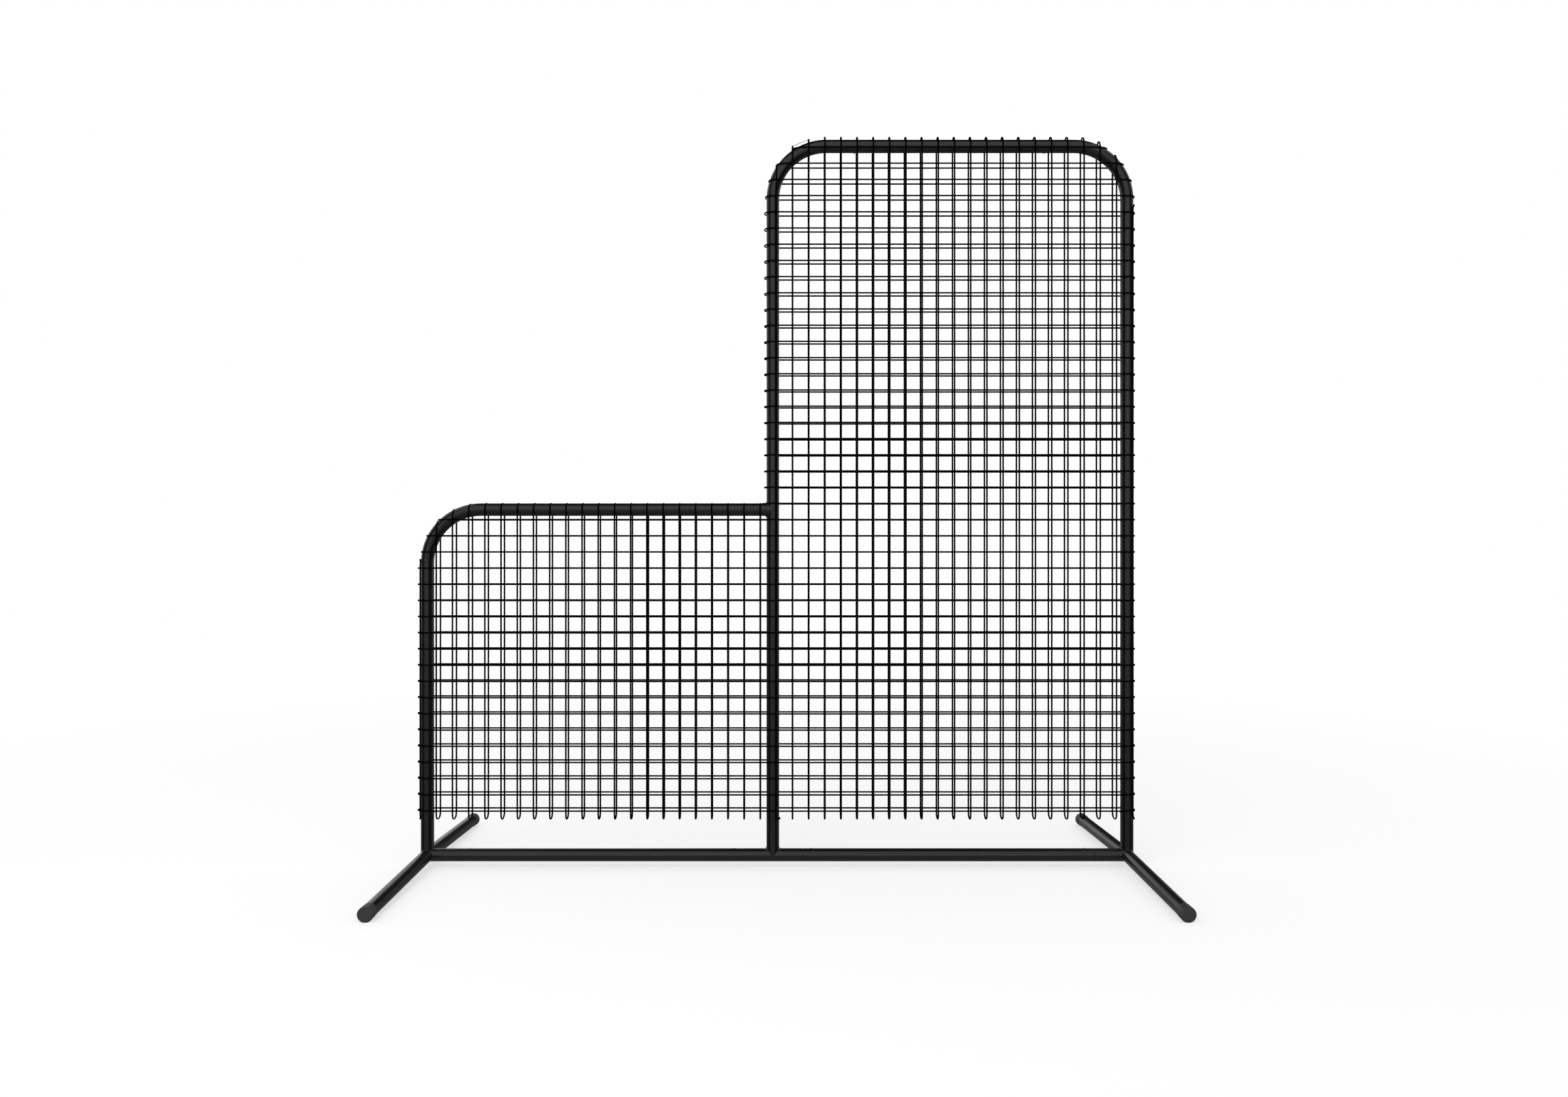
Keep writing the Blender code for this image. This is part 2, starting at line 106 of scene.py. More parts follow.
# Net
STRAND = 0.0052  # greatest width of a strand, seen from the front
COLUMN_THICKNESS = 0.0028
ROW_THICKNESS = 0.0024
PRESSED_THICKNESS = 0.0015  # of a column on the short bar
STRAND_CLEARANCE = 0.0001
COLUMN_PITCH = 0.048247
COLUMN_COUNT = 45
SHORT_COLUMNS = 22  # how many hang from the short top bar
FIRST_COLUMN = -0.0157  # from the left upright's axis
LEFT_PULL = 0.0008  # how far the first and the last column are drawn out of line
RIGHT_PULL = 0.0018
ROW_PITCH = 0.048265
ROW_COUNT = 42
FULL_ROWS = 19  # rows that reach from the left upright to the right one
FIRST_ROW = 0.1359  # above the crossbar's axis
HEM_DROP = 0.0278  # first row to the axis of the strand at the net's lowest point
CROWN_RISE = 0.026  # last row to the top of a column that turns round an upright
LEFT_SLACK = 0.0072  # how far the loops stand off the uprights and the tall bar
NOTCH_SLACK = 0.0049
RIGHT_SLACK = 0.0024
TOP_SLACK = 0.0061
BEND_SLACK = 0.03  # gained over the flat part of a tall bend, per length past its start
STEEP = 0.7  # where a bend's flat part ends, in shares of its radius
TIGHT_REACH = 0.012  # how far into a bend the rows' loops have drawn tight
TIGHT_SLACK = 0.0006
LOOP_SQUARENESS = 0.75  # 1 for an ellipse, less for a squarer loop
KNOT_SWELL = 0.14
KNOT_LENGTH = 0.0035
TWINE_LAY = 0.014  # length of one turn of the twine
TEE_REACH = 0.031  # from the middle upright's axis to the turn of the row over the tee
TEE_SQUARENESS = 0.6  # of that turn
THREAD = 0.001  # a loose thread between two loops

# Stage
WORLD_LIGHT = 0.84  # strength of the white surroundings for rays that don't see them
FLOOR_HALF = 40.0
FLOOR_SHADE = 0.96
FLOOR_GLOW = 0.6  # share of plain white in the floor under the screen, for seen rays
FLOOR_FADE = (1.6, 4.5)  # distances from the middle where plain white starts to gain and is all
FAR = 30.0  # radius of the ring of panels
DARK_SHADE = 0.01
BACK_SHADE = 0.03
LOW_SHADE = 0.36  # of the panels below the horizon
TOP_FLAG = ((-3.3, -1.9), (3.3, -1.9), (4.4, 8.3), (-4.4, 8.3))  # x and y of its corners
TOP_HEIGHT = 7

# Fineness
TUBE_SIDES = 48
BEND_STEPS = 24
EDGE_STEPS = 3
BUTTON_SIDES = 24
DOME_STEPS = 5
WELD_STEPS = 180
WELD_PROFILE_STEPS = 5
TURN_STEPS = 14
STRAND_SIDES = 7
WRAP_STEPS = 12


def span_along(node, origin, way):
    """Least and greatest distance of a node's points from origin along a way."""
    far = [(vertex.co - origin).dot(way) for vertex in NODES[node].data.vertices]
    return min(far), max(far)


def span_round(node, origin, way):
    """Greatest distance of a node's points from the line through origin along a way."""
    return max((vertex.co - origin).cross(way).length for vertex in NODES[node].data.vertices)


def middle(node):
    low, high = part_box(node)
    return (low + high) / 2


BAR_LOW, BAR_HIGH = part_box("left_crossbar")
TUBE_RADIUS = (BAR_HIGH.z - BAR_LOW.z) / 2
BASE_Z = (BAR_HIGH.z + BAR_LOW.z) / 2
SHORT_Z = middle("short_top_bar").z
TALL_Z = middle("tall_top_bar").z
LEFT_X = middle("front_left_leg").x
MIDDLE_X = middle("middle_lower_upright").x
RIGHT_X = middle("front_right_leg").x
INNER_RADIUS = TUBE_RADIUS - TUBE_WALL
SPIGOT_RADIUS = INNER_RADIUS - SPIGOT_CLEARANCE
SPIGOT_BORE = SPIGOT_RADIUS - TUBE_WALL
NET_OFFSET = TUBE_RADIUS + STRAND_CLEARANCE + COLUMN_THICKNESS / 2  # y of the back layer


# Materials

def node_maker(tree):
    """A helper that adds a node to a tree, sets its values and links what goes into it."""
    def node(kind, links=(), **settings):
        made = tree.nodes.new(kind)
        for key, value in settings.items():
            if key in made.inputs:
                made.inputs[key].default_value = value
            else:
                setattr(made, key, value)
        for socket, source in dict(links).items():
            tree.links.new(source, made.inputs[socket])
        return made

    return node


def shader(name, colour, roughness, metallic=0.0, specular=0.5):
    """A material with a Principled surface, a maker of its nodes and a link to the surface."""
    made = bpy.data.materials.new(name)
    made.use_nodes = True
    tree = made.node_tree
    surface = tree.nodes["Principled BSDF"]
    surface.inputs["Base Color"].default_value = (*colour, 1)
    surface.inputs["Roughness"].default_value = roughness
    surface.inputs["Metallic"].default_value = metallic
    surface.inputs["Specular IOR Level"].default_value = specular

    def link(source, socket):
        tree.links.new(source, surface.inputs[socket])

    return made, node_maker(tree), link


def ramp_between(node, source, low, high, start=0.0, end=1.0):
    """Maps source from start..end to low..high."""
    mapped = node(
        "ShaderNodeMapRange", {"Value": source},
        **{"From Min": start, "From Max": end, "To Min": low, "To Max": high},
    )
    return mapped.outputs["Result"]


def tint_between(node, source, low, high):
    """A colour from low to high as source goes from 0 to 1. low may be a node's output."""
    mixed = node("ShaderNodeMix", {0: source}, data_type="RGBA")
    for socket, colour in ((6, low), (7, high)):  # the two colours of a mix, A and B
        if isinstance(colour, tuple):
            mixed.inputs[socket].default_value = (*colour, 1)
        else:
            mixed.id_data.links.new(colour, mixed.inputs[socket])
    return mixed.outputs[2]


def noise(node, place, **settings):
    return node("ShaderNodeTexNoise", {"Vector": place}, **settings).outputs["Fac"]


def maths(node, operation, *values):
    """What a maths node makes of its values, each a number or a node's output."""
    sources = {k: value for k, value in enumerate(values) if not isinstance(value, (int, float))}
    made = node("ShaderNodeMath", sources, operation=operation)
    for k, value in enumerate(values):
        if k not in sources:
            made.inputs[k].default_value = value
    return made.outputs[0]


def relief(node, height, strength, distance):
    bump = node("ShaderNodeBump", {"Height": height}, Strength=strength, Distance=distance)
    return bump.outputs["Normal"]


def powder_coat_material():
    """Satin black powder coat: a fine orange peel, faint mottling and a few dusty scuffs."""
    made, node, link = shader("powder_coat", (0.004, 0.004, 0.0042), 0.3)
    place = node("ShaderNodeTexCoord").outputs["Object"]
    peel = noise(node, place, Scale=420.0, Detail=3.0, Roughness=0.55)
    cloud = noise(node, place, Scale=9.0, Detail=4.0, Roughness=0.6)
    scuff = noise(node, place, Scale=60.0, Detail=6.0, Roughness=0.7)
    worn = ramp_between(node, scuff, 0.0, 1.0, 0.62, 0.8)
    shade = tint_between(node, cloud, (0.0028, 0.0028, 0.003), (0.0052, 0.0052, 0.0055))
    link(tint_between(node, worn, shade, (0.012, 0.012, 0.012)), "Base Color")
    link(ramp_between(node, cloud, 0.27, 0.35, 0.3, 0.7), "Roughness")
    link(relief(node, peel, 0.35, 0.00006), "Normal")
    return made


def cap_plastic_material():
    """Dull moulded plastic with a fine grain and a faint cloudy tone."""
    made, node, link = shader("foot_plastic", (0.034, 0.034, 0.0345), 0.6, specular=0.3)
    place = node("ShaderNodeTexCoord").outputs["Object"]
    grain = noise(node, place, Scale=900.0, Detail=2.0)
    cloud = noise(node, place, Scale=35.0, Detail=4.0)
    link(tint_between(node, cloud, (0.029, 0.029, 0.0295), (0.039, 0.039, 0.0395)), "Base Color")
    link(ramp_between(node, cloud, 0.42, 0.58, 0.3, 0.7), "Roughness")
    link(relief(node, grain, 0.3, 0.0001), "Normal")
    return made


def zinc_material():
    """Zinc plate, a little cloudy."""
    made, node, link = shader("button_zinc", (0.55, 0.56, 0.57), 0.3, metallic=1.0)
    place = node("ShaderNodeTexCoord").outputs["Object"]
    cloud = noise(node, place, Scale=700.0, Detail=3.0)
    link(tint_between(node, cloud, (0.42, 0.43, 0.45), (0.66, 0.67, 0.67)), "Base Color")
    link(ramp_between(node, cloud, 0.24, 0.42), "Roughness")
    return made


def spring_material():
    """Bright rolled strip, streaked along its rolling."""
    made, node, link = shader("spring_steel", (0.4, 0.41, 0.43), 0.34, metallic=1.0)
    place = node("ShaderNodeTexCoord").outputs["Object"]
    stretched = node("ShaderNodeMapping", {"Vector": place}, Scale=(1.0, 1.0, 0.08))
    streak = noise(node, stretched.outputs[0], Scale=2600.0, Detail=2.0)
    link(tint_between(node, streak, (0.3, 0.31, 0.33), (0.48, 0.49, 0.5)), "Base Color")
    link(ramp_between(node, streak, 0.26, 0.46), "Roughness")
    return made


def twine_material():
    """Dull black twine whose three plies wind round it, with painted shade in the grooves between them.
    The UV map runs round and along it.
    """
    made, node, link = shader("net_twine", (0.004, 0.004, 0.004), 0.9, specular=0.0)
    strand = node("ShaderNodeUVMap", uv_map="strand").outputs["UV"]
    parts = node("ShaderNodeSeparateXYZ", {"Vector": strand})
    plies = maths(node, "MULTIPLY", parts.outputs["X"], 3)
    lay = maths(node, "ADD", plies, parts.outputs["Y"])
    wave = maths(node, "SINE", maths(node, "MULTIPLY", lay, 2 * pi))
    ply = ramp_between(node, wave, 0.0, 1.0, -1.0, 1.0)
    place = node("ShaderNodeTexCoord").outputs["Object"]
    fuzz = noise(node, place, Scale=1500.0, Detail=2.0)
    # painted shade: the colour darkens where the ply wave is low, in the grooves between the plies
    link(tint_between(node, ply, (0.0009, 0.0009, 0.0009), (0.0038, 0.0038, 0.0039)), "Base Color")
    link(ramp_between(node, fuzz, 0.75, 0.95), "Roughness")
    link(relief(node, maths(node, "ADD", ply, fuzz), 0.8, 0.0004), "Normal")
    return made


COAT = powder_coat_material()
PLASTIC = cap_plastic_material()
ZINC = zinc_material()
SPRING = spring_material()
TWINE = twine_material()


# Meshes

def mesh_object(name, shape):
    bmesh.ops.recalc_face_normals(shape, faces=shape.faces)
    mesh = bpy.data.meshes.new(name)
    shape.to_mesh(mesh)
    shape.free()
    obj = bpy.data.objects.new(name, mesh)
    bpy.context.scene.collection.objects.link(obj)
    return obj


def ring(centre, radius, along=Z, across=Y, sides=TUBE_SIDES):
    """Corners of a polygon round an axis, the first one on the side of across."""
    other = along.cross(across)
    turns = [2 * pi * k / sides for k in range(sides)]
    return [centre + radius * (cos(t) * across + sin(t) * other) for t in turns]


def loft(name, rings, joined=False):
    """Skins rings of equal count, capping both ends or joining the last to the first."""
    shape = bmesh.new()
    corners = [[shape.verts.new(point) for point in points] for points in rings]
    pairs = list(zip(corners, corners[1:]))
    if joined:
        pairs.append((corners[-1], corners[0]))
    else:
        shape.faces.new(corners[0])
        shape.faces.new(corners[-1])
    for low, high in pairs:
        for k in range(len(low)):
            after = (k + 1) % len(low)
            shape.faces.new((low[k], low[after], high[after], high[k]))
    return mesh_object(name, shape)


def turned(name, profile, origin, along, across, sides):
    """A solid of revolution from a profile of distance along the axis and radius."""
    rings = [ring(origin + far * along, radius, along, across, sides) for far, radius in profile]
    return loft(name, rings)


def combine(obj, other, operation):
    """Applies a Boolean and removes the other object."""
    step = obj.modifiers.new(other.name, "BOOLEAN")
    step.operation = operation
    step.solver = "MANIFOLD"
    step.object = other
    apply_modifiers(obj)
    bpy.data.objects.remove(other)


def apply_modifiers(obj):
    result = bpy.data.meshes.new_from_object(obj.evaluated_get(bpy.context.evaluated_depsgraph_get()))
    obj.modifiers.clear()
    obj.data = result


def piece(obj, body, material, node, sharp=pi / 6):
    """Shades and paints a piece, puts it on its body and lets it stand for its node."""
    obj.data.shade_smooth()
    obj.data.set_sharp_from_angle(angle=sharp)
    obj.modifiers.new("normals", "WEIGHTED_NORMAL").keep_sharp = True
    apply_modifiers(obj)
    obj.data.materials.clear()
    obj.data.materials.append(material)
    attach(obj, body)
    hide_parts(node)
    return obj


def rounded(far, radius, size, facing, from_end):
    """Profile points of the rounded edge of an end face that lies far along the axis.

    facing is 1 where the face looks along the axis and -1 where it looks back. The points run
    from the side wall to the face, or from the face to the wall with from_end.
    """
    points = []
    for step in range(EDGE_STEPS + 1):
        angle = pi / 2 * step / EDGE_STEPS
        along = far - facing * size * (1 - sin(angle))
        points.append((along, radius - size * (1 - cos(angle))))
    return points[::-1] if from_end else points


# Tubes

def tube_profile(low, high, spigot_tip=None):
    """Outer and inner profile of a straight tube from low to high along its axis.

    With spigot_tip the tube has a reduced end beyond high, which is its shoulder.
    """
    outer = rounded(low, TUBE_RADIUS, EDGE, -1, True) + rounded(high, TUBE_RADIUS, EDGE, 1, False)
    inner = [(low, INNER_RADIUS), (high, INNER_RADIUS)]
    if spigot_tip:
        outer += [(high, SPIGOT_RADIUS)] + rounded(spigot_tip, SPIGOT_RADIUS, EDGE, 1, False)
        neck = high - TUBE_WALL
        inner = [(low, INNER_RADIUS), (neck, INNER_RADIUS)]
        inner += [(neck, SPIGOT_BORE), (spigot_tip, SPIGOT_BORE)]
    return outer, inner


def straight_tube(name, origin, along, across, low, high, spigot_tip=None):
    outer, inner = tube_profile(low, high, spigot_tip)
    rings = [ring(origin + far * along, radius, along, across) for far, radius in outer + inner[::-1]]
    return loft(name, rings, joined=True)


def corner_tube(name, start, top_z, turn_to, shoulder, spigot_tip):
    """An upright from start that bends towards turn_to and ends in a spigot.

    shoulder and spigot_tip are distances from the upright's axis.
    """
    bend_z = top_z - BEND_RADIUS
    across = Y
    outer = [
        ring(Vector((start.x, 0, far)), radius, Z, across)
        for far, radius in rounded(start.z, TUBE_RADIUS, EDGE, -1, True)
    ]
    inner = [ring(start, INNER_RADIUS, Z, across)]
    centre = Vector((start.x, 0, bend_z)) + BEND_RADIUS * turn_to
    for step in range(BEND_STEPS + 1):
        angle = pi / 2 * step / BEND_STEPS
        point = centre + BEND_RADIUS * (sin(angle) * Z - cos(angle) * turn_to)
        along = cos(angle) * Z + sin(angle) * turn_to
        outer.append(ring(point, TUBE_RADIUS, along, across))
        inner.append(ring(point, INNER_RADIUS, along, across))
    level = Vector((start.x, 0, top_z))

    def bar_rings(profile):
        return [ring(level + far * turn_to, radius, turn_to, across) for far, radius in profile]

    neck = shoulder - TUBE_WALL
    outer += bar_rings(rounded(shoulder, TUBE_RADIUS, EDGE, 1, False) + [(shoulder, SPIGOT_RADIUS)])
    outer += bar_rings(rounded(spigot_tip, SPIGOT_RADIUS, EDGE, 1, False))
    inner += bar_rings([(neck, INNER_RADIUS), (neck, SPIGOT_BORE), (spigot_tip, SPIGOT_BORE)])
    return loft(name, outer + inner[::-1], joined=True)


# Welded fittings

def solid_way(shoulder, tip):
    """Profile of a bar from a fitting's centre out to a shoulder and a spigot's tip."""
    body = [(0, TUBE_RADIUS)] + rounded(shoulder, TUBE_RADIUS, EDGE, 1, False)
    return body + [(shoulder, SPIGOT_RADIUS)] + rounded(tip, SPIGOT_RADIUS, EDGE, 1, False)


def hollow_way(shoulder, tip):
    """Profile of the bore of such a bar, out past its tip."""
    neck = shoulder - TUBE_WALL
    past = tip + TUBE_WALL
    return [(0, INNER_RADIUS), (neck, INNER_RADIUS), (neck, SPIGOT_BORE), (past, SPIGOT_BORE)]


def line_rings(centre, across, profile, back, front):
    """Rings of two bars that run out of a fitting's centre, back one way and front the other."""
    rings = [ring(centre + far * back, radius, -back, across) for far, radius in profile[:0:-1]]
    middle_radius = profile[0][1]
    rings.append(ring(centre, middle_radius, (front - back).normalized(), across))
    rings += [ring(centre + far * front, radius, front, across) for far, radius in profile[1:]]
    return rings


def fitting(name, centre, line, branches, welds):
    """Welds bars that meet in one point and bores them.

    line holds the two ways of the bars that run through, a way across them, and how far out
    every bar of the fitting has its shoulder and its tip. branches holds a pair for each other
    bar, its way and a way across it. welds holds what weld_fillet needs after centre.
    """
    back, front, across, shoulder, tip = line
    body = loft(name, line_rings(centre, across, solid_way(shoulder, tip), back, front))
    for k, (along, side) in enumerate(branches):
        bar = turned(f"{name}_bar_{k}", solid_way(shoulder, tip), centre, along, side, TUBE_SIDES)
        combine(body, bar, "UNION")
    for k, weld in enumerate(welds):
        combine(body, weld_fillet(f"{name}_weld_{k}", centre, *weld), "UNION")
    bore = line_rings(centre, across, hollow_way(shoulder, tip), back, front)
    combine(body, loft(f"{name}_bore", bore), "DIFFERENCE")
    for k, (along, side) in enumerate(branches):
        bore = turned(f"{name}_bore_{k}", hollow_way(shoulder, tip), centre, along, side, TUBE_SIDES)
        combine(body, bore, "DIFFERENCE")
    return body


def lift_to_run(point, branch, run):
    """How far along branch from a point the surface of a run through the origin lies."""
    square = branch.cross(run).length_squared
    half = point.cross(run).dot(branch.cross(run))
    rest = point.cross(run).length_squared - TUBE_RADIUS**2
    return (sqrt(max(half**2 - square * rest, 0)) - half) / square


def weld_fillet(name, centre, branch, runs, size, reach=pi):
    """A rippled concave fillet where a branch meets a run of the same radius.

    runs are the ways of the run on its two sides. The fillet follows the line where the
    surfaces cut, as far round from the first way as reach. Its legs shrink where the surfaces
    turn tangent to each other.
    """
    run = (runs[0] - runs[0].dot(branch) * branch).normalized()
    other = branch.cross(run)
    radius = TUBE_RADIUS
    whole = reach >= pi
    steps = WELD_STEPS if whole else round(WELD_STEPS * reach / pi)
    length = 0.0
    before = None
    rings = []
    for step in range(steps if whole else steps + 1):
        angle = 2 * pi * step / steps if whole else reach * (2 * step / steps - 1)
        plan = cos(angle) * run + sin(angle) * other
        way = runs[0] if cos(angle) > 0 else runs[1]
        corner = radius * plan
        corner = corner + lift_to_run(corner, branch, way) * branch
        if before:
            length += (corner - before).length
        before = corner
        side = abs(sin(angle))
        room = radius * (1 / max(side, 0.05) - 1)  # 0.05 keeps it finite along the run
        leg = min(size, WELD_FILL * room + WELD_LEAST)
        up = corner + leg * branch - WELD_SINK * plan
        out = (radius + leg) * plan
        out = out + lift_to_run(out, branch, way) * branch
        out = out - WELD_SINK * (out - out.dot(way) * way).normalized()
        normal = (plan + (corner - corner.dot(way) * way).normalized()).normalized()
        ripple = WELD_RIPPLE * (leg / TEE_WELD) * (1 + sin(2 * pi * length / WELD_PITCH)) / 2
        points = [up]
        for k in range(1, WELD_PROFILE_STEPS + 1):
            share = k / (WELD_PROFILE_STEPS + 1)
            bowed = (1 - share) ** 2 * up + 2 * share * (1 - share) * corner + share**2 * out
            points.append(bowed + ripple * normal)
        points.append(out)
        points.append(corner - WELD_ROOT * normal)
        rings.append([centre + point for point in points])
    return loft(name, rings, joined=whole)


# Snap buttons

def joint_sites():
    """Name of each snap button, the tube axis under it, its way out and the way along."""
    for name, joint in JOINTS.items():
        if not name.endswith("_press"):
            continue
        site = name.removesuffix("_press")
        out = -Vector(joint["axis"]).normalized()
        points = [vertex.co for vertex in NODES[f"{site}_button"].data.vertices]
        centre = sum(points, Vector()) / len(points)
        tip = max((point - centre).dot(out) for point in points)
        at = centre + (tip - TUBE_RADIUS - BUTTON_PROUD) * out
        strip = middle(f"{site}_spring") - at
        yield site, at, out, (strip - strip.dot(out) * out).normalized()


def snap_button(site, at, out, along):
    """A flange on the spring and a pin with a dome, whose last ring is a small flat top."""
    node = f"{site}_button"
    foot, tip = span_along(node, at, out)
    shoulder = tip - BUTTON_DOME
    profile = [(foot, FLANGE_RADIUS - FLANGE_BEVEL), (foot + FLANGE_BEVEL, FLANGE_RADIUS)]
    profile += [(foot + FLANGE_THICKNESS, radius) for radius in (FLANGE_RADIUS, BUTTON_RADIUS)]
    for step in range(DOME_STEPS + 1):
        angle = pi / 2 * step / (DOME_STEPS + 0.5)
        radius = BUTTON_RADIUS * cos(angle) ** DOME_SQUARENESS
        profile.append((shoulder + BUTTON_DOME * sin(angle), radius))
    piece(turned(f"fine_{node}", profile, at, out, along, BUTTON_SIDES), node, ZINC, node)


def button_hole(site, at, out, along):
    """Cutter for a hole, turned by half a side so that no corner falls on a tube's edge."""
    radius = BUTTON_RADIUS + BUTTON_HOLE_CLEARANCE
    ends = [(far * TUBE_RADIUS, radius) for far in HOLE_SPAN]
    turn = pi / BUTTON_SIDES
    across = cos(turn) * along + sin(turn) * out.cross(along)
    return turned(f"{site}_hole", ends, at, out, across, BUTTON_SIDES)


def v_spring(site, at, out, along):
    """A bent strip whose upper arm carries the button and whose lower arm lies on the bore."""
    node = f"{site}_spring"
    low, high = span_along(node, at, out)
    back, front = span_along(node, at, along)
    half = SPRING_THICKNESS / 2
    under, on_wall, tail = high - half, -low - half, -back
    middle_of_turn = front - half - SPRING_TURN
    path = [(back, under), (tail, under)]
    for step in range(TURN_STEPS + 1):
        angle = pi * step / TURN_STEPS
        path.append((middle_of_turn + SPRING_TURN * sin(angle), SPRING_TURN * cos(angle)))
    path += [(tail, -on_wall), (back, -on_wall)]
    points = [at + y * along + z * out for y, z in path]
    side = along.cross(out)
    runs = [(b - a).normalized() for a, b in zip(points, points[1:])]
    rings = []
    for point, before, after in zip(points, [runs[0]] + runs, runs + [runs[-1]]):
        way = (before + after).normalized()
        thick = half / way.dot(after) * way.cross(side)
        cut = SPRING_CHAMFER / half
        slim = 1 - SPRING_CHAMFER / (SPRING_WIDTH / 2)
        wide = SPRING_WIDTH / 2 * side
        corners = []
        for a, b in ((1, 1), (1, -1), (-1, -1), (-1, 1)):
            pair = [(a * (1 - cut), b), (a, b * slim)]
            corners += pair if a * b > 0 else pair[::-1]
        rings.append([point + a * thick + b * wide for a, b in corners])
    obj = piece(loft(f"fine_{node}", rings), "frame", SPRING, node, sharp=pi / 5)
    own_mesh(obj)


# Assembly of the frame

def way_of(node, neighbour, centre, along):
    """Shoulder and spigot tip of a fitting's way, from where the neighbour's socket starts."""
    return span_along(neighbour, centre, along)[0] - GAP, span_along(node, centre, along)[1]


def leg_way(name):
    return Vector(JOINTS[f"{name}_leg_pull"]["axis"]).normalized()


def make_hub(side, x, inward):
    """The fitting where two legs, an upright and a crossbar meet."""
    name = f"{side}_hub"
    centre = Vector((x, 0, BASE_Z))
    front = leg_way(f"front_{side}")
    back = leg_way(f"back_{side}")
    shoulder, tip = way_of(name, f"{side}_crossbar", centre, inward)
    line = (back, front, X, shoulder, tip)
    welds = [
        (Z, (inward, -inward), HUB_WELD, HUB_WELD_REACH),
        (Z, (back, front), HUB_WELD),
        (inward, (back, front), HUB_WELD),
    ]
    return fitting(f"fine_{name}", centre, line, [(Z, Y), (inward, Y)], welds)


def make_tee(name, level, neighbour, line_way, branch):
    """A fitting with a bar both ways along line_way and one along branch, to its neighbour."""
    centre = Vector((MIDDLE_X, 0, level))
    shoulder, tip = way_of(name, neighbour, centre, branch)
    line = (-line_way, line_way, Y, shoulder, tip)
    weld = (branch, (line_way, -line_way), TEE_WELD)
    return fitting(f"fine_{name}", centre, line, [(branch, Y)], [weld])


def make_frame():
    """Every coated piece of the frame by its node's name, without the holes."""
    made = {
        "left_hub": make_hub("left", LEFT_X, X),
        "right_hub": make_hub("right", RIGHT_X, -X),
        "crossbar_tee": make_tee("crossbar_tee", BASE_Z, "middle_lower_upright", X, Z),
        "middle_tee": make_tee("middle_tee", SHORT_Z, "short_top_bar", Z, -X),
    }
    origin = Vector((0, 0, 0))
    for node, level in (
        ("left_crossbar", BASE_Z), ("right_crossbar", BASE_Z),
        ("short_top_bar", SHORT_Z), ("tall_top_bar", TALL_Z),
    ):
        low, high = span_along(node, origin, X)
        made[node] = straight_tube(f"fine_{node}", Vector((0, 0, level)), X, Y, low, high)
    low, high = span_along("middle_lower_upright", origin, Z)
    at = Vector((MIDDLE_X, 0, 0))
    made["middle_lower_upright"] = straight_tube("fine_middle_lower_upright", at, Z, Y, low, high)
    low, tip = span_along("right_lower_upright", origin, Z)
    shoulder = span_along("right_upper_upright", origin, Z)[0] - GAP
    at = Vector((RIGHT_X, 0, 0))
    lower = straight_tube("fine_right_lower_upright", at, Z, Y, low, shoulder, tip)
    made["right_lower_upright"] = lower
    for node, x, top_z, turn_to, bar in (
        ("left_upright", LEFT_X, SHORT_Z, X, "short_top_bar"),
        ("middle_upper_upright", MIDDLE_X, TALL_Z, X, "tall_top_bar"),
        ("right_upper_upright", RIGHT_X, TALL_Z, -X, "tall_top_bar"),
    ):
        start = Vector((x, 0, span_along(node, origin, Z)[0]))
        axis = Vector((x, 0, top_z))
        shoulder = span_along(bar, axis, turn_to)[0] - GAP
        tip = span_along(node, axis, turn_to)[1]
        made[node] = corner_tube(f"fine_{node}", start, top_z, turn_to, shoulder, tip)
    return made


def make_leg(side, x_name, x):
    """A leg and its cap, which the ground cuts flat."""
    name = f"{side}_{x_name}"
    way = leg_way(name)
    centre = Vector((x, 0, BASE_Z))
    low, high = span_along(f"{name}_leg", centre, way)
    leg = straight_tube(f"fine_{name}_leg", centre, way, X, low, high)
    piece(leg, f"{name}_leg", COAT, f"{name}_leg")
    node = f"{name}_foot_cap"
    skirt, end = span_along(node, centre, way)
    radius = span_round(node, centre, way)
    bore = TUBE_RADIUS + GAP
    profile = [(end - CAP_END, bore), (skirt, bore)]
    profile += rounded(skirt, bore + CAP_MOUTH, CAP_LIP, -1, True)
    profile += rounded(end, radius, CAP_ROUND, 1, False)
    cap = turned(f"fine_{node}", profile, centre, way, X, TUBE_SIDES)
    reach = 4 * TUBE_RADIUS  # of a block of ground that is wider than the cap
    under = Vector((x, centre.y + end * way.y, -reach))
    square = [under + reach * (a * X + b * Y) for a, b in CORNER_SIGNS]
    ground = loft(f"{name}_ground", [[corner + lift * Z for corner in square] for lift in (0, reach)])
    combine(cap, ground, "DIFFERENCE")
    piece(cap, f"{name}_leg", PLASTIC, node)


# The two pieces that each button's hole goes through, first the one with the spigot.
SOCKETS = {
    "left_base": ("left_hub", "left_upright"),
    "left_rail": ("left_hub", "left_crossbar"),
    "right_base": ("right_hub", "right_lower_upright"),
    "right_rail": ("right_hub", "right_crossbar"),
    "tee_left": ("crossbar_tee", "left_crossbar"),
    "tee_right": ("crossbar_tee", "right_crossbar"),
    "middle_base": ("crossbar_tee", "middle_lower_upright"),
    "middle_below": ("middle_tee", "middle_lower_upright"),
    "middle_above": ("middle_tee", "middle_upper_upright"),
    "short_bar_tee": ("middle_tee", "short_top_bar"),
    "short_corner": ("left_upright", "short_top_bar"),
    "tall_left_corner": ("middle_upper_upright", "tall_top_bar"),
    "tall_right_corner": ("right_upper_upright", "tall_top_bar"),
    "right_middle": ("right_lower_upright", "right_upper_upright"),
}


